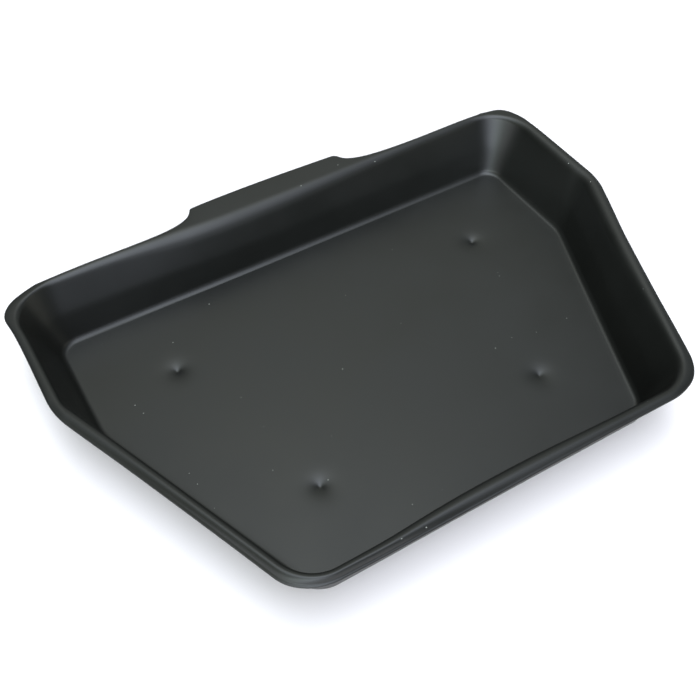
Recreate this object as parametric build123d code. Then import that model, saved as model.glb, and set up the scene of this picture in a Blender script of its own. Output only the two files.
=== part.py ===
from build123d import *
import os

# Paint roller tray: a shallow six-sided plastic moulding with a flat floor, a narrow rim
# flange, a hanging lip on the long back edge, and four soft feet pushed on from below.
# Millimetres. +Z is up and the ground is Z = 0. +X runs along the back edge, +Y points to
# the back, and the origin is under the middle of the whole outline, lip included.

# Plan of the rim's outer edge
back_half_width = 189.0
widest_half_width = 190.0
front_half_width = 126.5
widest_setback = 100.0        # from the back edge to the two widest corners
rim_depth = 266.0             # from the back edge to the front edge
lip_reach = 14.0              # how far the lip stands out behind the back edge
back_corner_radius = 25.0
widest_corner_radius = 55.0
front_corner_radius = 31.0

# Heights
foot_height = 4.0
sheet = 2.0                   # wall thickness of the moulding
inner_depth = 39.0            # from the floor to the top of the rim

# From the rim's outer edge in to the edge of the floor, one for each kind of side
back_floor_inset = 20.5
side_floor_inset = 22.0
diagonal_floor_inset = 21.0
front_floor_inset = 18.0

# From the rim's outer edge in to where the wall would meet the top of the rim
back_wall_inset = 6.5
side_wall_inset = 7.5
diagonal_wall_inset = 7.5
front_wall_inset = 8.5

# Corner radii in plan of the cavity, at its top and at the floor
cavity_top_radii = {"back": 26.0, "widest": 48.0, "front": 24.0}
cavity_floor_radii = {"back": 11.0, "widest": 36.0, "front": 18.0}

# Soft edges
floor_fillet = 3.0            # between the walls and the floor, inside
rim_blend = 4.5               # between the rim's top and the walls, inside
rim_edge_round = 0.9          # along the flange's outer edge

# Lip in the middle of the back edge
lip_half_width = 53.0         # at its outer edge
lip_foot_half_width = 64.0    # where it leaves the back edge
lip_corner_radius = 8.0
lip_foot_radius = 16.0
lip_arch = 1.2                # how far the middle of its outer edge bows out
flange_overlap = 4.0          # how far the lip's plan runs into the rim's

# Pits in the floor, each the inside of a hollow nipple that carries a foot
back_pit_x = 110.5
back_pit_setback = 75.0       # from the back edge
front_pit_x = 77.0
front_pit_setback = 192.5
pit_mouth_radius = 3.4
pit_depth = 2.2
pit_throat_radius = 1.2       # where the funnel turns steep, three quarters of the way down
pit_throat_depth = 1.65
pit_mouth_slope = 0.15        # the funnel's own slope where it leaves the floor
pit_tip_slope = 0.6           # and where it reaches its tip
nipple_radius = 4.0
nipple_length = 2.4
nipple_lead_in = 0.5          # chamfer round the nipple's end

# Feet
foot_radius = 8.0
foot_edge = 1.0               # chamfer round the foot's lower edge
socket_clearance = 0.2        # under the nipple's end

same_place = 0.01             # closer than this counts as the same height or side

floor_top = foot_height + sheet
rim_top = floor_top + inner_depth
back_edge_y = (rim_depth - lip_reach) / 2
wall_insets = [back_wall_inset, side_wall_inset, diagonal_wall_inset, front_wall_inset]
floor_insets = [back_floor_inset, side_floor_inset, diagonal_floor_inset, front_floor_inset]
rim_radii = {"back": back_corner_radius, "widest": widest_corner_radius, "front": front_corner_radius}


def right_corners(insets):
    """The right half's corners, back to front, with each side moved in by its inset.

    Each corner is where two moved sides meet: a point p with p . n = offset for both sides.
    """
    diagonal_run = widest_setback - rim_depth
    side = Vector(widest_half_width - back_half_width, -widest_setback)
    diagonal = Vector(front_half_width - widest_half_width, diagonal_run)
    outward = [Vector(0, 1), side.rotate(Axis.Z, 90), diagonal.rotate(Axis.Z, 90), Vector(0, -1)]
    on_side = [
        Vector(back_half_width, back_edge_y),
        Vector(back_half_width, back_edge_y),
        Vector(widest_half_width, back_edge_y - widest_setback),
        Vector(front_half_width, back_edge_y - rim_depth),
    ]
    lines = []
    for normal, point, inset in zip(outward, on_side, insets):
        unit = normal.normalized()
        lines.append((unit, unit.dot(point) - inset))
    corners = []
    for (first, first_offset), (second, second_offset) in zip(lines, lines[1:]):
        turn = first.X * second.Y - first.Y * second.X
        x = (first_offset * second.Y - second_offset * first.Y) / turn
        y = (first.X * second_offset - second.X * first_offset) / turn
        corners.append((x, y))
    return corners


def outline(insets, radii, grow=0.0):
    """A closed six-sided wire with rounded corners, mirrored left to right."""
    right = right_corners([inset - grow for inset in insets])
    left = [(-x, y) for x, y in reversed(right)]
    corner_radii = [radii["back"] + grow, radii["widest"] + grow, radii["front"] + grow]
    return FilletPolyline(*right, *left, radius=corner_radii + corner_radii[::-1], close=True)


def tapered_block(top_z, floor_z, grow=0.0):
    """The block between the walls, from a height up to the rim, grown outwards on every side."""
    top = Pos(0, 0, top_z) * make_face(outline(wall_insets, cavity_top_radii, grow))
    bottom = Pos(0, 0, floor_z) * make_face(outline(floor_insets, cavity_floor_radii, grow))
    return loft([bottom, top], ruled=True)


def rim_plan():
    """The rim's outer outline as a face, with the lip joined to the middle of the back edge."""
    rim = make_face(outline([0.0] * 4, rim_radii))
    outer_y = back_edge_y + lip_reach
    overlap_y = back_edge_y - flange_overlap
    lip_edge = ThreePointArc(
        (lip_half_width, outer_y - lip_arch),
        (0, outer_y),
        (-lip_half_width, outer_y - lip_arch),
    )
    lip_sides = Polyline(
        (-lip_half_width, outer_y - lip_arch),
        (-lip_foot_half_width, back_edge_y),
        (-lip_foot_half_width, overlap_y),
        (lip_foot_half_width, overlap_y),
        (lip_foot_half_width, back_edge_y),
        (lip_half_width, outer_y - lip_arch),
    )
    plan = rim + make_face(lip_edge + lip_sides)
    plan = fillet(plan.vertices().group_by(Axis.Y)[-1], lip_corner_radius)
    at_foot = [v for v in plan.vertices() if abs(abs(v.X) - lip_foot_half_width) < same_place]
    return fillet(at_foot, lip_foot_radius)


def pit_spots():
    """Name and place of each pit and the foot below it."""
    back_y = back_edge_y - back_pit_setback
    front_y = back_edge_y - front_pit_setback
    return {
        "back_left": (-back_pit_x, back_y),
        "back_right": (back_pit_x, back_y),
        "front_left": (-front_pit_x, front_y),
        "front_right": (front_pit_x, front_y),
    }


def nipple():
    """Hollow stub of the floor that a foot is pushed on, hanging from the floor's underside."""
    stub = Cylinder(nipple_radius, nipple_length, align=(Align.CENTER, Align.CENTER, Align.MAX))
    return Pos(0, 0, foot_height) * chamfer(stub.edges().sort_by(Axis.Z)[0], nipple_lead_in)


def pit():
    """The funnel pressed into the top of the floor inside a nipple."""
    mouth = (pit_mouth_radius, floor_top)
    tip = (0, floor_top - pit_depth)
    throat = (pit_throat_radius, floor_top - pit_throat_depth)
    slopes = [(-1, -pit_mouth_slope), (-1, -pit_tip_slope)]
    side = Spline(mouth, throat, tip, tangents=slopes)
    above = floor_top + sheet
    closing = Polyline(tip, (0, above), (pit_mouth_radius, above), mouth)
    return revolve(Plane.XZ * make_face(side + closing), Axis.Z)


def flat_ring(solid, height):
    """The flat face with a hole in it at a height: the flange's top or its underside."""
    flat = solid.faces().filter_by(Plane.XY)
    level = [face for face in flat if abs(face.center().Z - height) < same_place]
    return max(level, key=lambda face: len(face.inner_wires()))


def tray_shell():
    """Flange, lip, walls, floor and nipples in one moulding of even thickness."""
    body = tapered_block(rim_top, foot_height, sheet)
    body = fillet(body.edges().group_by(Axis.Z)[0], floor_fillet + sheet)
    flange = extrude(Pos(0, 0, rim_top - sheet) * rim_plan(), sheet)
    shell = flange + body
    under_flange = flat_ring(shell, rim_top - sheet).inner_wires()[0]
    shell = fillet(under_flange.edges(), rim_blend - sheet)
    cavity = tapered_block(rim_top, floor_top)
    cavity = fillet(cavity.edges().group_by(Axis.Z)[0], floor_fillet)
    shell -= cavity
    mouth = flat_ring(shell, rim_top).inner_wires()[0]
    shell = fillet(mouth.edges(), rim_blend)
    rim_edges = flat_ring(shell, rim_top).outer_wire().edges()
    rim_edges += flat_ring(shell, rim_top - sheet).outer_wire().edges()
    shell = fillet(rim_edges, rim_edge_round)
    for x, y in pit_spots().values():
        shell += Pos(x, y, 0) * nipple()
        shell -= Pos(x, y, 0) * pit()
    return shell


def foot():
    """A soft round foot with a blind socket for its nipple, chamfered round the bottom."""
    bottom_up = (Align.CENTER, Align.CENTER, Align.MIN)
    puck = Cylinder(foot_radius, foot_height, align=bottom_up)
    puck = chamfer(puck.edges().sort_by(Axis.Z)[0], foot_edge)
    socket_floor = foot_height - nipple_length - socket_clearance
    socket = Pos(0, 0, socket_floor) * Cylinder(nipple_radius, foot_height, align=bottom_up)
    return puck - socket


os.makedirs("parts", exist_ok=True)
export_step(tray_shell(), "parts/tray_shell.step")
for name, (x, y) in pit_spots().items():
    export_step(Pos(x, y, 0) * foot(), "parts/foot_" + name + ".step")
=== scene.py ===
import math

import bpy
import numpy as np
from mathutils import Matrix, Vector


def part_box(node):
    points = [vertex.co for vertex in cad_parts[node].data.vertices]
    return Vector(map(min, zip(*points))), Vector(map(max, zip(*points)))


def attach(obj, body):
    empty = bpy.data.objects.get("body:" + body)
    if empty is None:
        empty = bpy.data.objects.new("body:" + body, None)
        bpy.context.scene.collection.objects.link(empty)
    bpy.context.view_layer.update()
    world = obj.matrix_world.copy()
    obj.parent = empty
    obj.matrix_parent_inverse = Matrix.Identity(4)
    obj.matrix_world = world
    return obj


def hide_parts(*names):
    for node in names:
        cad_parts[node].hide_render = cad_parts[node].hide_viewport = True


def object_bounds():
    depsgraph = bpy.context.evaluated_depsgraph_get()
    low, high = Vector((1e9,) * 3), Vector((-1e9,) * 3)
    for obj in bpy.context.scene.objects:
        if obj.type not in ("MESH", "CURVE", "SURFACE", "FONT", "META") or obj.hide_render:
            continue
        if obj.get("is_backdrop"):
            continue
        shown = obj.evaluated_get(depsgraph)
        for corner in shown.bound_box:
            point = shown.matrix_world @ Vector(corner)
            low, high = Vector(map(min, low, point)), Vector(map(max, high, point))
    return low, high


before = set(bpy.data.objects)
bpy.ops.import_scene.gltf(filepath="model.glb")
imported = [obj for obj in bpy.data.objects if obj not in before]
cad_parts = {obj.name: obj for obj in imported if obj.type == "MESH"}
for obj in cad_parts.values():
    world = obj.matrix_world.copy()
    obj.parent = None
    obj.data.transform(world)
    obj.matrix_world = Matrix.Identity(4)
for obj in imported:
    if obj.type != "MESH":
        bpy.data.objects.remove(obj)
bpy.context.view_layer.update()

mm = 0.001
shellLow, shellHigh = (np.array(corner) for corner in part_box("tray_shell"))
print("frame loaded:", len(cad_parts), "nodes")

# The tray is one thin sheet drawn down into a mould, so its rim and walls wander a little.
# Everything is in metres. The plan has four kinds of side (back, side, diagonal, front) and
# three kinds of corner (back, widest, front); the short lists below are in those orders.
trayShape = {
    "backHalfWidth": 189.0 * mm,
    "widestHalfWidth": 190.0 * mm,
    "frontHalfWidth": 126.5 * mm,
    "widestSetback": 100.0 * mm,      # back edge to the widest corners
    "lipReach": 14.0 * mm,            # lip beyond the back edge
    "rimRadii": [25.0 * mm, 55.0 * mm, 31.0 * mm],
    "cavityTopRadii": [27.0 * mm, 48.0 * mm, 24.0 * mm],
    "cavityFloorRadii": [13.0 * mm, 36.0 * mm, 18.0 * mm],
    "floorInsets": [19.6 * mm, 22.0 * mm, 21.0 * mm, 18.0 * mm],
    "floorFillet": 4.2 * mm,
    "sheet": 2.0 * mm,
    "depth": 39.0 * mm,
    "breakHeight": 19.0 * mm,         # above the floor, where the wall bends to lean out more
    "breakSoftness": 0.25 * mm,
    "flatEdge": 0.5 * mm,             # kept level between the blend and the rounded edge
    "leastInnerBlend": 0.2 * mm,
    "flangeShare": 0.8,               # under 1, the corners turn to the rim's radius sooner
    "leastRadius": 0.5 * mm,
    "layoutPlaces": [0.5, 2.5, 4.5, 6.6],     # on each side, where its even cross-section is taken
}
# How the rim varies round the tray, in mm. A place is counted from the back's middle, to the
# right as + and to the left as -: 0-1 back, 1-2 back corner, 2-3 side, 3-4 widest corner,
# 4-5 diagonal, 5-6 front corner, 6-7 front, 7 the front's middle.
rimShape = {
    "wallInset": [    # outline to where the wall's slope would meet the rim's top
        (-7, 11.0), (-6.76, 10.8), (-6.53, 9.8), (-6.28, 7.8), (-6, 7.5), (-5.5, 7.8), (-5, 8.6),
        (-4.5, 8.8), (-4.1, 8.4), (-3.5, 7.0), (-3, 6.4), (-2, 5.6), (-1.7, 3.6), (-1.45, 3.4),
        (-1.2, 4.2), (-1, 4.0), (-0.79, 3.9), (-0.6, 5.8), (-0.42, 8.8), (-0.25, 10.2), (0, 9.8),
        (0.25, 8.4), (0.42, 7.0), (0.6, 6.4), (1, 5.2), (1.5, 4.6), (2, 5.8), (3, 6.6),
        (3.5, 6.6), (4.1, 7.2), (4.4, 8.6), (4.7, 7.4), (4.85, 6.2), (5.5, 6.4), (6, 7.0),
        (6.28, 7.8), (6.53, 9.0), (6.76, 10.4), (7, 11.0)],
    "blend": [        # radius from the wall over onto the rim
        (-7, 6.0), (-6.3, 4.4), (-6, 3.2), (-5.5, 3.0), (-5, 3.8), (-4, 4.2), (-3.5, 3.4),
        (-2, 3.2), (-1.5, 4.6), (-1, 8.0), (-0.79, 9.5), (-0.4, 11.0), (0, 10.5), (0.4, 8.0),
        (0.7, 6.8), (1, 5.0), (1.5, 4.4), (2, 7.0), (3, 8.0), (4, 8.0), (4.4, 9.0), (4.7, 7.5),
        (4.85, 6.0), (5.5, 4.6), (6, 4.6), (6.6, 5.6), (7, 6.0)],
    "droop": [        # how much lower the outer edge lies than the rim's top
        (-7, 2.2), (-6.3, 3.0), (-5.6, 3.6), (-5, 2.8), (-4, 1.1), (-3, 0.3), (-1, 0.2), (0, 0.2),
        (1, 0.3), (3, 0.3), (5, 0.4), (6, 0.9), (7, 1.9)],
    "edge": [         # outer edge's own wander, + inwards
        (-7, 1.2), (-6.2, 1.5), (-6, 2.1), (-5.8, 2.4), (-5.5, 2.1), (-5.2, 1.4), (-4.75, 1.6),
        (-4.3, 1.2), (-4.05, 0.4), (-3, 0.2), (-2.4, 0.5), (-2.1, 0.1), (-1.78, -2.2),
        (-1.55, -1.0), (-1.3, 1.0), (-1.1, 0.8), (-0.95, -0.8), (-0.8, -1.5), (-0.5, -0.6),
        (-0.4, -0.3), (-0.28, -1.1), (0, -0.5), (0.19, 0.1), (0.3, 0.8), (0.38, -0.2), (0.6, 0.8),
        (0.75, 0.6), (0.93, -0.4), (1.12, 1.3), (1.25, 0.6), (1.42, -1.5), (1.52, -1.7),
        (1.75, -0.5), (2, -0.8), (2.2, -1.6), (3, -1.3), (3.9, -1.5), (4.1, -1.2), (4.28, 0.2),
        (4.7, -0.3), (4.9, -1.2), (5.45, -1.4), (5.75, -0.1), (6, 0.1), (6.4, 0.8), (7, 1.2)],
    "break": [        # extra slope of the wall above the bend
        (-7, 0.06), (-1.5, 0.08), (-1, 0.22), (-0.5, 0.26), (0, 0.2), (0.9, 0.15), (1.5, 0.06),
        (3, 0.1), (4, 0.14), (5, 0.12), (7, 0.06)],
}
rimTrack = {"stepsPerPlace": 100, "softness": 10, "reach": 40}      # the last two are in steps
backEdgeY = shellHigh[1] - trayShape["lipReach"]
frontEdgeY = shellLow[1]
rimTop = shellHigh[2]
floorTop = rimTop - trayShape["depth"]


def cornersOf(insets):
    # insets (rows, 4) -> the right half's corners (rows, 3, 2): each side's line moves inwards by
    # its inset, and a corner p is where two lines meet, p . n1 = d1 and p . n2 = d2
    a, b, c = trayShape["backHalfWidth"], trayShape["widestHalfWidth"], trayShape["frontHalfWidth"]
    widestY = backEdgeY - trayShape["widestSetback"]
    points = np.array([[0, backEdgeY], [a, backEdgeY], [b, widestY], [c, frontEdgeY], [0, frontEdgeY]])
    run = np.diff(points, axis=0)
    normals = np.stack([-run[:, 1], run[:, 0]], 1) / np.linalg.norm(run, axis=1)[:, None]   # outwards
    offsets = (normals * points[:-1]).sum(1)[None, :] - insets
    n1, n2, d1, d2 = normals[:-1], normals[1:], offsets[:, :-1], offsets[:, 1:]
    turn = n1[:, 0] * n2[:, 1] - n1[:, 1] * n2[:, 0]
    x = (d1 * n2[:, 1] - d2 * n1[:, 1]) / turn
    y = (n1[:, 0] * d2 - n2[:, 0] * d1) / turn
    return np.stack([x, y], 2), normals


def loopPoints(insets, radii, piece, t):
    # insets (rows, 4) and radii (rows, 3) -> points (rows, stations, 2) and outward directions
    # (stations, 2). Pieces 0, 2, 4, 6 are the sides from the back's middle to the front's, and
    # 1, 3, 5 the corner arcs, centre + r (cos angle, sin angle) with the angle even in t
    corners, normals = cornersOf(insets)
    middle = np.zeros(len(insets))
    angles = np.arctan2(normals[:, 1], normals[:, 0])
    turns = angles[1:] - angles[:-1]
    half = np.tan(np.abs(turns) / 2)
    along = np.stack([normals[:, 1], -normals[:, 0]], 1)      # direction of travel on each side
    before = corners - along[None, :-1] * (radii * half)[..., None]
    after = corners + along[None, 1:] * (radii * half)[..., None]
    centres = before - normals[None, :-1] * radii[..., None]
    starts = [np.stack([middle, corners[:, 0, 1]], 1), after[:, 0], after[:, 1], after[:, 2]]
    ends = [before[:, 0], before[:, 1], before[:, 2], np.stack([middle, corners[:, 2, 1]], 1)]
    xy = np.zeros((len(insets), len(t), 2))
    outward = np.zeros((len(t), 2))
    for side in range(4):
        on = piece == 2 * side
        xy[:, on] = starts[side][:, None] + (ends[side] - starts[side])[:, None] * t[on][None, :, None]
        outward[on] = normals[side]
    for corner in range(3):
        on = piece == 2 * corner + 1
        angle = angles[corner] + turns[corner] * t[on]
        outward[on] = np.stack([np.cos(angle), np.sin(angle)], 1)
        xy[:, on] = centres[:, corner, None] + radii[:, corner, None, None] * outward[on][None]
    return xy, outward


def spreadSides(values, piece, t):
    # values (..., 4) for the sides -> (..., stations): each side's own value, eased from one side's
    # to the next over a corner by t t (3 - 2 t)
    first = np.minimum(piece // 2, 3)
    ease = np.where(piece % 2 == 1, t * t * (3 - 2 * t), 0)
    return values[..., first] * (1 - ease) + values[..., np.minimum(first + 1, 3)] * ease


def aroundRim(table, place):
    # The table's values at the given places: straight lines between its pairs, then a running
    # average round the closed track, weighted exp(-(steps / softness) ** 2), so nothing turns sharply
    fine = np.linspace(-7, 7, 14 * rimTrack["stepsPerPlace"] + 1)
    values = np.interp(fine, *zip(*table))[:-1]
    reach = np.arange(-rimTrack["reach"], rimTrack["reach"] + 1)
    weight = np.exp(-(reach / rimTrack["softness"]) ** 2)
    smooth = sum(w * np.roll(values, r) for w, r in zip(weight / weight.sum(), reach))
    return np.interp(place, fine, np.append(smooth, smooth[0]))


def spaced(count, low, high, crowds):
    # count + 1 values from low to high, closer together near each crowd (centre, width, strength):
    # the inverse of the running sum of 1 + strength exp(-((x - centre) / width) ** 4)
    x = np.linspace(low, high, meshCount["spacingSteps"])
    density = 1 + sum(s * np.exp(-((x - c) / w) ** 4) for c, w, s in crowds)
    total = np.concatenate([[0], np.cumsum((density[1:] + density[:-1]) / 2)])
    return np.interp(np.linspace(0, total[-1], count + 1), total, x)


footBoxes = {name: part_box(name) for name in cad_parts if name.startswith("foot_")}
pitSpots = np.array([(np.array(low) + np.array(high))[:2] / 2 for low, high in footBoxes.values()])
meshCount = {
    "across": 88, "corner": 15, "side": 30, "diagonal": 48,        # stations round the right half
    # where they crowd together, as (share of the way, width, strength)
    "acrossCrowds": [(0.62, 0.10, 4.0), (0.36, 0.10, 1.5), (0.325, 0.03, 3.0)],    # pits, lip's ends
    "sideCrowd": (0.14, 4.0), "diagonalCrowd": (0.075, 4.0),       # both centred on a pit
    "spacingSteps": 2000,
    # rows of the cross-section, from the floor up, over the rim and down the outside
    "floorArc": 9, "wall": 14, "blend": 13, "flange": 8, "edge": 9, "under": 5, "underBlend": 7,
    "outerWall": 9,
}


def ringStations():
    # The right half's stations from the back's middle to the front's, as piece and t. The two
    # middle sides share one spacing, so the floor's rows run straight across
    backPitY, frontPitY = pitSpots[:, 1].max(), pitSpots[:, 1].min()
    across = spaced(meshCount["across"], 0, 1, meshCount["acrossCrowds"])
    corners, _ = cornersOf(np.array([trayShape["floorInsets"]]))
    sideFrom, sideTo, frontY = corners[0, :, 1]
    sideCrowd = [((sideFrom - backPitY) / (sideFrom - sideTo), *meshCount["sideCrowd"])]
    diagonalCrowd = [((sideTo - frontPitY) / (sideTo - frontY), *meshCount["diagonalCrowd"])]
    arc = np.linspace(0, 1, meshCount["corner"] + 1)
    side = spaced(meshCount["side"], 0, 1, sideCrowd)
    diagonal = spaced(meshCount["diagonal"], 0, 1, diagonalCrowd)
    column = [(1, arc), (2, side[1:]), (3, arc[1:]), (4, diagonal[1:]), (5, arc[1:])]
    columnPiece = np.concatenate([np.full(len(t), piece) for piece, t in column])
    columnT = np.concatenate([t for _, t in column])
    return across, columnPiece, columnT


def profile(f, w, blend, droop, edgeShift, bend):
    # Cross-sections as insets and heights (rows, sections), from the floor up the inside, over the
    # rim and back down the outside. The wall follows two slopes, f - t1 (z - floor) below the bend
    # and w + t2 (rim - z) above it, joined by a smooth minimum. Fillets are centre + r (cos, sin)
    s, rows = trayShape, meshCount
    fillet, sheet, depth = s["floorFillet"], s["sheet"], s["depth"]
    edge = sheet / 2
    slopeLow = (f - w - bend * (depth - s["breakHeight"])) / depth
    slopeHigh = slopeLow + bend
    leanLow, leanHigh = np.arctan(slopeLow), np.arctan(slopeHigh)
    perBlend = 1 / np.tan(np.pi / 4 + leanHigh / 2)
    room = w - edgeShift - s["flatEdge"] - edge
    blend = np.clip(blend, sheet + s["leastInnerBlend"], room / perBlend)
    lowX, lowZ = f + fillet / np.tan(np.pi / 4 + leanLow / 2), floorTop + fillet
    highX, highZ = w - blend * perBlend, rimTop - blend
    edgeX, edgeZ = edge + edgeShift, rimTop - edge - droop

    def arc(x, z, radius, start, stop, count):
        angle = start + (stop - start) * np.linspace(0, 1, count)[:, None]
        return x + radius * np.cos(angle), z + radius * np.sin(angle)

    def wall(count, up):
        # the wall's inner face between the fillet's end and the blend's start
        fromZ = lowZ - fillet * np.sin(leanLow)
        toZ = highZ + blend * np.sin(leanHigh)
        u = np.linspace(0, 1, count + 2)[1:-1, None]
        z = fromZ + (toZ - fromZ) * (u if up else 1 - u)
        low, high = f - slopeLow * (z - floorTop), w + slopeHigh * (rimTop - z)
        gap = np.sqrt((low - high) ** 2 + s["breakSoftness"] ** 2)
        share = 0.5 * (1 - (low - high) / gap)                 # 1 where the lower slope holds
        return (low + high - gap) / 2, z, np.arctan(slopeLow * share + slopeHigh * (1 - share))

    def across(startX, stopX, z, drop, count, outwards):
        # level at the blend, falling away as the square of the distance to the outer edge
        u = np.linspace(0, 1, count + 2)[1:-1, None]
        level = u if outwards else 1 - u
        return startX + (stopX - startX) * u, z - drop * level ** 2

    down, up = 1.5 * np.pi, 0.5 * np.pi
    floorArc = arc(lowX, lowZ, fillet, down, np.pi + leanLow, rows["floorArc"])
    wallX, wallZ, _ = wall(rows["wall"], True)
    blendArc = arc(highX, highZ, blend, leanHigh, up, rows["blend"])
    flange = across(highX, edgeX, rimTop, droop, rows["flange"], True)
    edgeArc = arc(edgeX, edgeZ, edge, up, down, rows["edge"])
    under = across(edgeX, highX, rimTop - sheet, droop, rows["under"], False)
    bendArc = arc(highX, highZ, blend - sheet, up, leanHigh, rows["underBlend"])
    outX, outZ, outLean = wall(rows["outerWall"], False)
    outer = outX - sheet * np.cos(outLean), outZ - sheet * np.sin(outLean)
    outerArc = arc(lowX, lowZ, fillet + sheet, np.pi + leanLow, down, rows["floorArc"])
    parts = [floorArc, (wallX, wallZ), blendArc, flange, edgeArc, under, bendArc, outer, outerArc]
    insets = np.concatenate([np.broadcast_to(x, z.shape) for x, z in parts])
    heights = np.concatenate([z for _, z in parts])
    # how far across the flange each row lies: 0 on the wall, 1 at the outer edge
    share = np.clip((highX - insets) / (highX - edgeX), 0, 1)
    return insets, heights, share


def rowRadii(insets, heights, wallInsets, share):
    # Corner radius of each row: parallel to the leaning wall at that height, eased to the
    # rim's own radius across the flange
    s = trayShape
    f = np.array(s["floorInsets"])
    rise = np.clip((heights - floorTop) / s["depth"], 0, 1)
    gap = (f - (f - wallInsets) * rise) - insets
    cornerRise = (rise[:, :-1] + rise[:, 1:]) / 2
    cornerGap = (gap[:, :-1] + gap[:, 1:]) / 2
    low, high = np.array(s["cavityFloorRadii"]), np.array(s["cavityTopRadii"])
    parallel = low + (high - low) * cornerRise + cornerGap
    rim = np.array(s["rimRadii"]) - (insets[:, :-1] + insets[:, 1:]) / 2
    share = ((share[:, :-1] + share[:, 1:]) / 2) ** s["flangeShare"]
    return np.maximum(parallel * (1 - share) + rim * share, s["leastRadius"])


lipShape = {
    "cornerX": [56.3 * mm, 53.9 * mm],          # left, right
    "arch": 0.8 * mm,                 # the middle stands out more than the corners
    "steep": 6.8 * mm, "steepReach": 2.2 * mm, "steepFrom": 8.0 * mm,
    "gentle": 6.6 * mm, "gentleReach": 12.0 * mm,
    "cornerSoftness": [2.4 * mm, 5.0 * mm],     # left, right
}


def lipBulge(x):
    # How far the back edge stands out at x: the smaller of the arched edge and the end's curve,
    # gentle / (1 + (d / reach) ** 2) + steep exp(-d / reach) at d beyond the corner, with the
    # turn between them rounded by a smooth minimum
    s = lipShape
    corner = np.where(x < 0, *s["cornerX"])
    beyond = np.abs(x) - corner
    arch = trayShape["lipReach"] - s["arch"] * (x / corner) ** 2
    steep = s["steep"] * np.exp(-np.maximum(beyond, -s["steepFrom"]) / s["steepReach"])
    end = s["gentle"] / (1 + (np.maximum(beyond, 0) / s["gentleReach"]) ** 2) + steep
    soft = np.where(x < 0, *s["cornerSoftness"])
    return (arch + end - np.sqrt((arch - end) ** 2 + soft ** 2)) / 2


pitShape = {
    "depth": 1.9 * mm, "funnel": 2.6 * mm, "tip": 0.7 * mm,
    "skirt": 7.5 * mm, "skirtDepth": 0.55 * mm,
}
nippleShape = {"radius": 3.9 * mm, "length": 2.3 * mm, "side": 0.25}    # side: share of the radius


def pitDrop(xy):
    # Sum over the pits of depth exp(-r / funnel) + skirtDepth exp(-(r / skirt) ** 2), r being the
    # distance to the pit, with its very tip rounded
    drop = np.zeros(xy.shape[:-1])
    for spot in pitSpots:
        r = np.sqrt(((xy - spot) ** 2).sum(-1) + pitShape["tip"] ** 2)
        drop += pitShape["depth"] * np.exp(-r / pitShape["funnel"])
        drop += pitShape["skirtDepth"] * np.exp(-(r / pitShape["skirt"]) ** 2)
    return drop


def nippleDrop(xy):
    # length times a smooth step u u (3 - 2 u), which runs over the outer share of the radius
    drop = np.zeros(xy.shape[:-1])
    for spot in pitSpots:
        r = np.sqrt(((xy - spot) ** 2).sum(-1))
        u = np.clip((nippleShape["radius"] - r) / (nippleShape["radius"] * nippleShape["side"]), 0, 1)
        drop += nippleShape["length"] * u * u * (3 - 2 * u)
    return drop


def makeMesh(name, points, faces):
    # points (n, 3) and four-sided faces (m, 4) into a smooth-shaded object at the origin
    mesh = bpy.data.meshes.new(name)
    mesh.vertices.add(len(points))
    mesh.vertices.foreach_set("co", points.astype(np.float32).ravel())
    mesh.loops.add(faces.size)
    mesh.loops.foreach_set("vertex_index", faces.astype(np.int32).ravel())
    mesh.polygons.add(len(faces))
    mesh.polygons.foreach_set("loop_start", np.arange(0, faces.size, faces.shape[1], dtype=np.int32))
    mesh.update(calc_edges=True)
    mesh.validate()
    mesh.shade_smooth()
    obj = bpy.data.objects.new(name, mesh)
    bpy.context.scene.collection.objects.link(obj)
    return obj


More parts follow.
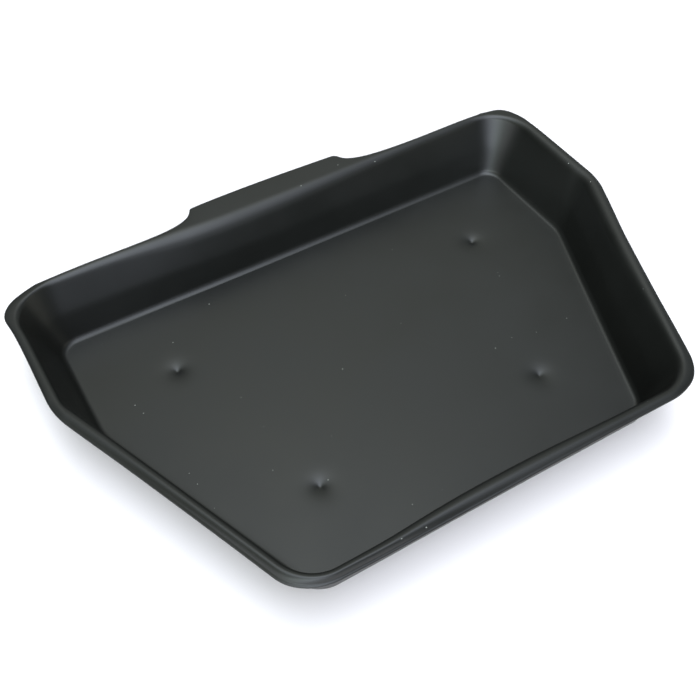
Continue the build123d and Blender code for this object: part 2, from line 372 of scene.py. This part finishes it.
def makeTrayShell():
    # The cross-section (rows) carried round the plan (stations) is the ring: walls, rim and outside.
    # Two grids with the same border close it: the floor's top with the pits, its underside with
    # the nipples
    across, columnPiece, columnT = ringStations()
    wide = np.concatenate([-across[:0:-1], across])                  # -1 .. 1
    nx, ny = len(wide), len(columnPiece)
    # the ring's stations: back left to right, right side down, front right to left, left side up
    piece = np.concatenate([np.zeros(nx, int), columnPiece[1:-1], np.full(nx, 6), columnPiece[-2:0:-1]])
    t = np.concatenate([np.abs(wide), columnT[1:-1], 1 - np.abs(wide[::-1]), columnT[-2:0:-1]])
    mirror = np.concatenate([np.sign(wide), np.ones(ny - 2), np.sign(wide[::-1]), -np.ones(ny - 2)])
    place = (piece + t) * np.where(mirror < 0, -1, 1)

    # the even layout first, with one cross-section for each kind of side, then every station's
    # own cross-section, set in or out along its outward direction
    units = {key: 1 if key == "break" else mm for key in rimShape}
    rim = {key: aroundRim(table, place) * units[key] for key, table in rimShape.items()}
    places = np.array(trayShape["layoutPlaces"])
    even = {key: (aroundRim(table, places) + aroundRim(table, -places)) / 2 * units[key]
            for key, table in rimShape.items()}
    f = np.array(trayShape["floorInsets"])
    layout, levels, layoutShare = profile(f, even["wallInset"], even["blend"], even["droop"],
                                          np.zeros(4), even["break"])
    radii = rowRadii(layout, levels, even["wallInset"], layoutShare)
    xy, outward = loopPoints(layout, radii, piece, t)
    insets, heights, share = profile(spreadSides(f, piece, t), rim["wallInset"], rim["blend"],
                                     rim["droop"], rim["edge"], rim["break"])
    xy = xy + outward[None] * (spreadSides(layout, piece, t) - insets)[..., None]
    xy[:, :, 0] *= mirror[None]
    xy[:, :nx, 1] += lipBulge(xy[:, :nx, 0]) * share[:, :nx]
    ring = np.concatenate([xy, heights[..., None]], 2)
    rows, around = ring.shape[:2]

    def floorGrid(row):
        # rows of the floor run straight across between mirrored stations of one column
        column = np.concatenate([ring[row, nx - 1:nx - 1 + ny - 1], ring[row, nx + ny - 2][None]])
        grid = np.empty((ny, nx, 3))
        grid[:, :, 0] = column[:, None, 0] * wide[None]
        grid[:, :, 1] = column[:, None, 1]
        grid[:, :, 2] = column[:, None, 2]
        return grid

    top, bottom = floorGrid(0), floorGrid(rows - 1)
    top[:, :, 2] -= pitDrop(top[:, :, :2])
    bottom[:, :, 2] -= nippleDrop(bottom[:, :, :2])
    index = np.arange(ny * nx).reshape(ny, nx)
    border = np.concatenate([index[0], index[1:-1, -1], index[-1, ::-1], index[-2:0:-1, 0]])
    middle = ny * nx + np.arange((rows - 2) * around).reshape(rows - 2, around)
    bottomIndex = ny * nx + (rows - 2) * around + index
    bottomBorder = border + ny * nx + (rows - 2) * around
    strips = np.concatenate([border[None], middle, bottomBorder[None]])
    points = np.concatenate([top.reshape(-1, 3), ring[1:-1].reshape(-1, 3), bottom.reshape(-1, 3)])

    def quads(grid):
        return np.stack([grid[:-1, :-1], grid[1:, :-1], grid[1:, 1:], grid[:-1, 1:]], 2).reshape(-1, 4)

    closed = np.concatenate([strips, strips[:, :1]], 1)
    faces = np.concatenate([quads(index), quads(closed)[:, ::-1], quads(bottomIndex)[:, ::-1]])
    return makeMesh("trayShell", points, faces)


trayShell = makeTrayShell()
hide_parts("tray_shell")
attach(trayShell, "root")
print("tray shell made:", len(trayShell.data.polygons), "faces")

footShape = {
    "edgeRound": 1.0 * mm,
    "draft": 0.35 * mm,               # the side leans in towards the top
    "dimpleRadius": 4.5 * mm,
    "dimpleDepth": 0.5 * mm,
    "socketRadius": 4.2 * mm,
    "socketDepth": 2.6 * mm,
    "topChamfer": 0.3 * mm,
    "mouthChamfer": [0.2 * mm, 0.3 * mm],     # out, down
    "stepsRound": 72, "edgeSteps": 8, "dimpleSteps": 12,
}


def makeFoot(name, low, high):
    # A profile (radius, height) turned about the foot's own axis: (x, y) = centre + radius
    # (cos, sin). It runs from the middle of the underside out, up the side and into the socket
    s = footShape
    centre, radius, tall = (low + high)[:2] / 2, (high - low)[0] / 2, high[2] - low[2]
    bend = np.linspace(-np.pi / 2, 0, s["edgeSteps"])
    dip = np.linspace(0, 1, s["dimpleSteps"])
    dimple = np.stack([dip * s["dimpleRadius"], s["dimpleDepth"] * (1 - dip ** 2) ** 2], 1)
    edge = s["edgeRound"]
    lowEdge = np.stack([radius - edge + edge * np.cos(bend), edge + edge * np.sin(bend)], 1)
    top, chamfer = radius - s["draft"], s["topChamfer"]
    hole, (out, down) = s["socketRadius"], s["mouthChamfer"]
    topEdge = np.array([[top, tall - chamfer], [top - chamfer, tall]])
    socket = np.array([[hole + out, tall], [hole, tall - down], [hole, tall - s["socketDepth"]]])
    line = np.concatenate([dimple[1:], lowEdge, topEdge, socket])
    turn = np.linspace(0, 2 * np.pi, s["stepsRound"], endpoint=False)
    rows, around = len(line), len(turn)
    points = np.zeros((rows, around, 3))
    points[:, :, 0] = centre[0] + line[:, 0, None] * np.cos(turn)
    points[:, :, 1] = centre[1] + line[:, 0, None] * np.sin(turn)
    points[:, :, 2] = low[2] + line[:, 1, None]
    ends = np.array([[*centre, low[2] + s["dimpleDepth"]], [*centre, high[2] - s["socketDepth"]]])
    index = np.arange(rows * around).reshape(rows, around)
    closed = np.concatenate([index, index[:, :1]], 1)
    sides = np.stack([closed[:-1, :-1], closed[:-1, 1:], closed[1:, 1:], closed[1:, :-1]], 2)
    sides = sides.reshape(-1, 4)
    lowCap = closed[0, 1:], closed[0, :-1], np.full(around, rows * around)
    socketCap = closed[-1, :-1], closed[-1, 1:], np.full(around, rows * around + 1)
    fans = [np.stack(cap, 1) for cap in (lowCap, socketCap)]
    allPoints = np.concatenate([points.reshape(-1, 3), ends])
    mesh = bpy.data.meshes.new(name)
    mesh.from_pydata(allPoints.tolist(), [], sides.tolist() + np.concatenate(fans).tolist())
    mesh.validate()
    mesh.shade_smooth()
    obj = bpy.data.objects.new(name, mesh)
    bpy.context.scene.collection.objects.link(obj)
    return obj


feet = []
for node, (low, high) in footBoxes.items():
    side = "".join(word.capitalize() for word in node.split("_")[1:])
    foot = makeFoot("rubberFoot" + side, np.array(low), np.array(high))
    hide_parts(node)
    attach(foot, "root")
    feet.append(foot)
print("feet made:", len(feet))


def linear(hexColour):
    # sRGB hex to linear: ((c + 0.055) / 1.055) ** 2.4, or c / 12.92 in the darks
    parts = [int(hexColour[i:i + 2], 16) / 255 for i in (1, 3, 5)]
    return tuple(c / 12.92 if c <= 0.04045 else ((c + 0.055) / 1.055) ** 2.4 for c in parts) + (1.0,)


def addNode(tree, kind, settings=None, inputs=None):
    # One node: settings are its own properties, inputs are values or (node, output) to link
    node = tree.nodes.new(kind)
    for key, value in (settings or {}).items():
        setattr(node, key, value)
    for key, value in (inputs or {}).items():
        if isinstance(value, tuple) and isinstance(value[0], bpy.types.Node):
            tree.links.new(value[0].outputs[value[1]], node.inputs[key])
        else:
            node.inputs[key].default_value = value
    return node


plasticLook = {
    "colour": "#111210",
    "paleColour": "#161715",          # where the skin has been handled
    "roughness": (0.35, 0.44),        # cleanest to most handled
    "handled": 60 * mm,               # size of the cloudy patches
    "handledFrom": (0.35, 0.68),      # of the cloud's own range
    "ior": 1.5,
    "grain": 0.9 * mm,                # the skin's pebble, drawn coarser than its real 0.2 mm
    "grainHeight": 0.006 * mm,
    "dustColour": "#8d8f88",
    "dustCell": 8 * mm,               # one place for a speck in each
    "dustSize": 0.34 * mm,
    "dustShare": 0.45,                # of the places that hold one
    "dustLevel": 0.6,                 # it lies only where the surface faces up more than this
}


def satinBlackPlastic():
    # Black polystyrene sheet, vacuum formed: a near-black body under a satin skin that mirrors
    # its surroundings softly, clouded by handling and dotted with dust where it faces up
    look = plasticLook
    material = bpy.data.materials.new("satinBlackPlastic")
    material.use_nodes = True
    tree = material.node_tree
    tree.nodes.clear()
    place = addNode(tree, "ShaderNodeTexCoord")
    cloud = addNode(tree, "ShaderNodeTexNoise", inputs={
        "Vector": (place, "Object"), "Scale": 1 / look["handled"], "Detail": 4.0, "Roughness": 0.55})
    handled = addNode(tree, "ShaderNodeMapRange", inputs={
        "Value": (cloud, "Fac"),
        "From Min": look["handledFrom"][0], "From Max": look["handledFrom"][1],
        "To Min": look["roughness"][0], "To Max": look["roughness"][1]})
    body = addNode(tree, "ShaderNodeMix", {"data_type": "RGBA"}, {
        "Factor": (cloud, "Fac"), "A": linear(look["colour"]), "B": linear(look["paleColour"])})
    specks = addNode(tree, "ShaderNodeTexVoronoi", inputs={
        "Vector": (place, "Object"), "Scale": 1 / look["dustCell"], "Randomness": 1.0})
    size = addNode(tree, "ShaderNodeMath", {"operation": "LESS_THAN"}, {
        0: (specks, "Distance"), 1: look["dustSize"] / look["dustCell"]})
    channels = addNode(tree, "ShaderNodeSeparateColor", inputs={"Color": (specks, "Color")})
    chosen = addNode(tree, "ShaderNodeMath", {"operation": "LESS_THAN"}, {
        0: (channels, "Red"), 1: look["dustShare"]})
    speck = addNode(tree, "ShaderNodeMath", {"operation": "MULTIPLY"}, {0: (size, 0), 1: (chosen, 0)})
    facing = addNode(tree, "ShaderNodeNewGeometry")
    upward = addNode(tree, "ShaderNodeSeparateXYZ", inputs={"Vector": (facing, "Normal")})
    settled = addNode(tree, "ShaderNodeMath", {"operation": "GREATER_THAN"}, {
        0: (upward, "Z"), 1: look["dustLevel"]})
    dust = addNode(tree, "ShaderNodeMath", {"operation": "MULTIPLY"}, {0: (speck, 0), 1: (settled, 0)})
    colour = addNode(tree, "ShaderNodeMix", {"data_type": "RGBA"}, {
        "Factor": (dust, 0), "A": (body, "Result"), "B": linear(look["dustColour"])})
    roughness = addNode(tree, "ShaderNodeMath", {"operation": "MAXIMUM"}, {0: (handled, 0), 1: (dust, 0)})
    grain = addNode(tree, "ShaderNodeTexNoise", inputs={
        "Vector": (place, "Object"), "Scale": 1 / look["grain"], "Detail": 2.0})
    bump = addNode(tree, "ShaderNodeBump", inputs={
        "Height": (grain, "Fac"), "Strength": 1.0, "Distance": look["grainHeight"]})
    shader = addNode(tree, "ShaderNodeBsdfPrincipled", inputs={
        "Base Color": (colour, "Result"), "Roughness": (roughness, 0),
        "IOR": look["ior"], "Normal": (bump, 0)})
    addNode(tree, "ShaderNodeOutputMaterial", inputs={"Surface": (shader, 0)})
    return material


rubberLook = {
    "colour": "#1b1b1c",
    "paleColour": "#232323",
    "roughness": (0.62, 0.8),
    "bloom": 5 * mm,                  # size of the chalky patches
    "bloomFrom": (0.3, 0.7),
    "ior": 1.52,
    "grain": 0.35 * mm,
    "grainHeight": 0.01 * mm,
}


def matteBlackRubber():
    # Moulded black rubber: darker and duller than the plastic, with a chalky bloom
    look = rubberLook
    material = bpy.data.materials.new("matteBlackRubber")
    material.use_nodes = True
    tree = material.node_tree
    tree.nodes.clear()
    place = addNode(tree, "ShaderNodeTexCoord")
    bloom = addNode(tree, "ShaderNodeTexNoise", inputs={
        "Vector": (place, "Object"), "Scale": 1 / look["bloom"], "Detail": 3.0})
    colour = addNode(tree, "ShaderNodeMix", {"data_type": "RGBA"}, {
        "Factor": (bloom, "Fac"), "A": linear(look["colour"]), "B": linear(look["paleColour"])})
    roughness = addNode(tree, "ShaderNodeMapRange", inputs={
        "Value": (bloom, "Fac"),
        "From Min": look["bloomFrom"][0], "From Max": look["bloomFrom"][1],
        "To Min": look["roughness"][0], "To Max": look["roughness"][1]})
    grain = addNode(tree, "ShaderNodeTexNoise", inputs={
        "Vector": (place, "Object"), "Scale": 1 / look["grain"], "Detail": 1.0})
    bump = addNode(tree, "ShaderNodeBump", inputs={
        "Height": (grain, "Fac"), "Strength": 1.0, "Distance": look["grainHeight"]})
    shader = addNode(tree, "ShaderNodeBsdfPrincipled", inputs={
        "Base Color": (colour, "Result"), "Roughness": (roughness, 0),
        "IOR": look["ior"], "Normal": (bump, 0)})
    addNode(tree, "ShaderNodeOutputMaterial", inputs={"Surface": (shader, 0)})
    return material


trayShell.data.materials.append(satinBlackPlastic())
rubber = matteBlackRubber()
for foot in feet:
    foot.data.materials.append(rubber)
print("materials made")

studio = {
    "floorColour": "#f8f1f0",         # a little warm, so it looks neutral under the cool lights
    "floorRoughness": 0.9,
    "floorHalfWidth": 4.0,
    "backdrop": 1.0,                  # the dome as the camera sees it
    # soft lights on the dome: degrees clockwise from the back, degrees up, spread in degrees,
    # and strengths of red, green and blue. The low ones stand for a wide window at the front left
    "glows": {
        "windowMiddle": (-148, 5, 13, (3.3, 3.75, 4.15)),
        "windowSide": (-128, 14, 13, (2.53, 2.86, 2.89)),
        "windowEnd": (-96, 8, 13, (1.53, 1.54, 1.60)),
        "windowEndHigh": (-108, 24, 13, (1.11, 1.25, 1.16)),
        "windowFront": (-161, 20, 13, (3.0, 3.1, 3.7)),
        "windowTop": (-141, 30, 13, (2.04, 2.36, 2.07)),
        "behind": (14, 16, 13, (0.40, 0.42, 0.42)),
        "behindRight": (34, 30, 13, (0.60, 0.64, 0.58)),
        "right": (68, 22, 13, (0.55, 0.62, 0.60)),
        "rightFront": (125, 10, 13, (1.65, 1.65, 1.45)),
        "frontHigh": (-168, 65, 16, (5.40, 5.80, 6.60)),
        "leftHigh": (-82, 50, 13, (0.50, 0.50, 0.30)),
        "ceilingLeft": (-80, 76, 13, (1.83, 2.15, 2.12)),
        "ceilingBack": (18, 63, 13, (1.88, 1.97, 1.74)),
        "ceilingTop": (56, 82, 13, (4.09, 4.41, 4.91)),
    },
}


def makeStudioFloor():
    half = studio["floorHalfWidth"]
    mesh = bpy.data.meshes.new("studioFloor")
    corners = [(-half, -half, 0), (half, -half, 0), (half, half, 0), (-half, half, 0)]
    mesh.from_pydata(corners, [], [(0, 1, 2, 3)])
    paper = bpy.data.materials.new("whitePaper")
    paper.use_nodes = True
    paper.node_tree.nodes.clear()
    shader = addNode(paper.node_tree, "ShaderNodeBsdfPrincipled", inputs={
        "Base Color": linear(studio["floorColour"]), "Roughness": studio["floorRoughness"]})
    addNode(paper.node_tree, "ShaderNodeOutputMaterial", inputs={"Surface": (shader, 0)})
    mesh.materials.append(paper)
    ground = bpy.data.objects.new("studioFloor", mesh)
    bpy.context.scene.collection.objects.link(ground)
    ground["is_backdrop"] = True


def makeDome():
    # Each glow is strength exp((cos angle - 1) / (1 - cos spread) ln 2) at an angle from its middle,
    # so it is half as bright at its spread. The camera sees a plain pale dome instead
    world = bpy.data.worlds.new("studioDome")
    bpy.context.scene.world = world
    world.use_nodes = True
    tree = world.node_tree
    tree.nodes.clear()
    place = addNode(tree, "ShaderNodeTexCoord")
    total = None
    for azimuth, elevation, spread, strength in studio["glows"].values():
        a, e = math.radians(azimuth), math.radians(elevation)
        towards = (math.sin(a) * math.cos(e), math.cos(a) * math.cos(e), math.sin(e))
        sharpness = math.log(2) / (1 - math.cos(math.radians(spread)))
        near = addNode(tree, "ShaderNodeVectorMath", {"operation": "DOT_PRODUCT"}, {
            0: (place, "Generated"), 1: towards})
        fall = addNode(tree, "ShaderNodeMath", {"operation": "MULTIPLY_ADD"}, {
            0: (near, "Value"), 1: sharpness, 2: -sharpness})
        glow = addNode(tree, "ShaderNodeMath", {"operation": "EXPONENT"}, {0: (fall, 0)})
        tinted = addNode(tree, "ShaderNodeVectorMath", {"operation": "SCALE"}, {
            0: strength, "Scale": (glow, 0)})
        if total is not None:
            tinted = addNode(tree, "ShaderNodeVectorMath", {"operation": "ADD"}, {
                0: (total, 0), 1: (tinted, 0)})
        total = tinted
    lit = addNode(tree, "ShaderNodeBackground", inputs={"Color": (total, 0)})
    seen = addNode(tree, "ShaderNodeBackground", inputs={"Strength": studio["backdrop"]})
    seen.inputs["Color"].default_value = (1, 1, 1, 1)
    ray = addNode(tree, "ShaderNodeLightPath")
    both = addNode(tree, "ShaderNodeMixShader", inputs={
        0: (ray, "Is Camera Ray"), 1: (lit, 0), 2: (seen, 0)})
    addNode(tree, "ShaderNodeOutputWorld", inputs={"Surface": (both, 0)})
    bpy.context.scene.view_settings.view_transform = "Standard"


makeStudioFloor()
makeDome()
print("floor and lights made:", len(studio["glows"]), "soft lights")

shot = {
    "azimuth": -30.44, "elevation": 49.50, "roll": -0.62,      # degrees
    "distance": 0.608, "aim": (-0.0118, 0.0099, 0.006), "lens": 50.26, "sensor": 36,
}


def makeCamera():
    data = bpy.data.cameras.new("camera")
    camera = bpy.data.objects.new("camera", data)
    bpy.context.scene.collection.objects.link(camera)
    a, e = math.radians(shot["azimuth"]), math.radians(shot["elevation"])
    back = Vector((math.sin(a) * math.cos(e), -math.cos(a) * math.cos(e), math.sin(e)))
    camera.location = Vector(shot["aim"]) + back * shot["distance"]
    turn = (-back).to_track_quat("-Z", "Y").to_matrix()
    camera.rotation_euler = (turn @ Matrix.Rotation(math.radians(shot["roll"]), 3, "Z")).to_euler()
    data.lens = shot["lens"]
    data.sensor_width = shot["sensor"]
    bpy.context.scene.camera = camera


makeCamera()

low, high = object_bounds()
print("visual box:", [round(v, 4) for v in low], [round(v, 4) for v in high])
